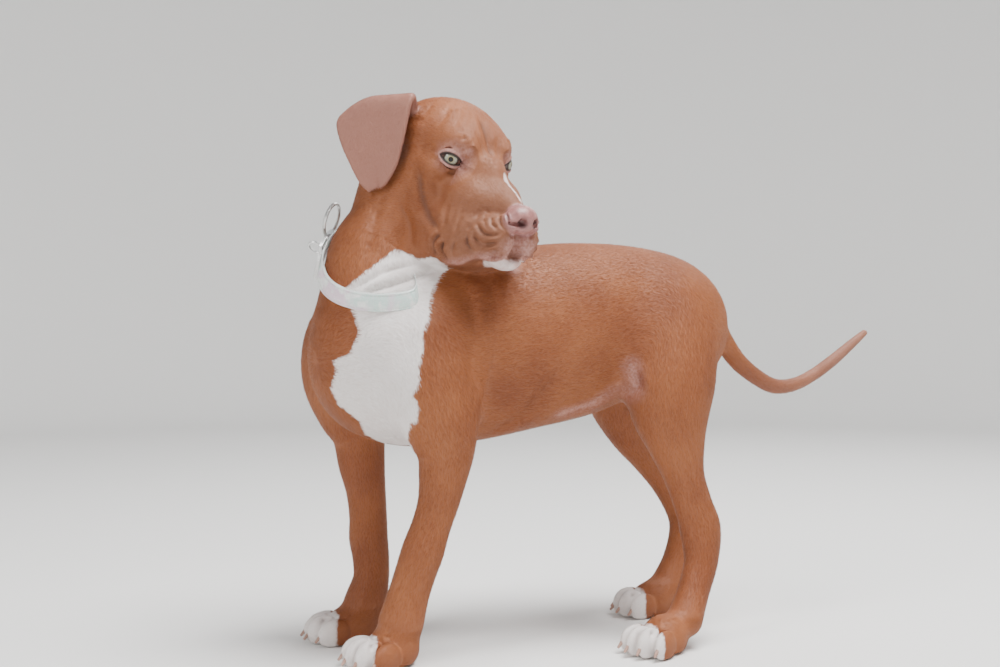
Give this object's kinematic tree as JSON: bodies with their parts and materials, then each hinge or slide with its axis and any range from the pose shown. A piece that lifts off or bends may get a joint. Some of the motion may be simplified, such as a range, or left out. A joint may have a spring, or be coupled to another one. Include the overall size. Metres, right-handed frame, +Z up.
{
  "type": "standing puppy figure",
  "caption": "Life-size still figure of a short-coated red-brown puppy with floppy ears, standing with its head turned, in a collar.",
  "frame": {"origin": "centre of the bounding box on the floor, under the belly", "axes": "+Z up, -Y towards the chest, +X to the dog's left, tail towards +Y"},
  "size_m": [0.251, 0.6488, 0.5311],
  "materials": {
    "coat": "short flat coat",
    "white_coat": "short flat coat",
    "nose": "damp, fine-grained",
    "eye": "wet gloss",
    "claw": "horn, half gloss",
    "strap": "pearly, glittered",
    "metal": "polished"
  },
  "bodies": {
    "root": {"abdomen": "coat", "chest": "coat", "claw_front_left_1": "claw", "claw_front_left_2": "claw", "claw_front_left_3": "claw", "claw_front_left_4": "claw", "claw_front_right_1": "claw", "claw_front_right_2": "claw", "claw_front_right_3": "claw", "claw_front_right_4": "claw", "claw_hind_left_1": "claw", "claw_hind_left_2": "claw", "claw_hind_left_3": "claw", "claw_hind_left_4": "claw", "claw_hind_right_1": "claw", "claw_hind_right_2": "claw", "claw_hind_right_3": "claw", "claw_hind_right_4": "claw", "collar_keeper": "metal", "collar_lead_ring": "metal", "collar_loop_1": "metal", "collar_loop_2": "metal", "collar_strap": "strap", "collar_tag_ring": "metal", "ear_left": "coat", "ear_right": "coat", "eye_left": "eye", "eye_right": "eye", "foreleg_left": "coat", "foreleg_right": "coat", "forepaw_left": "white_coat", "forepaw_right": "white_coat", "head": "coat", "hindleg_left": "coat", "hindleg_right": "coat", "hindpaw_left": "white_coat", "hindpaw_right": "white_coat", "muzzle": "coat", "neck": "coat", "nose": "nose", "rump": "coat", "tail_base": "coat", "tail_tip": "coat"}
  },
  "joints": []
}
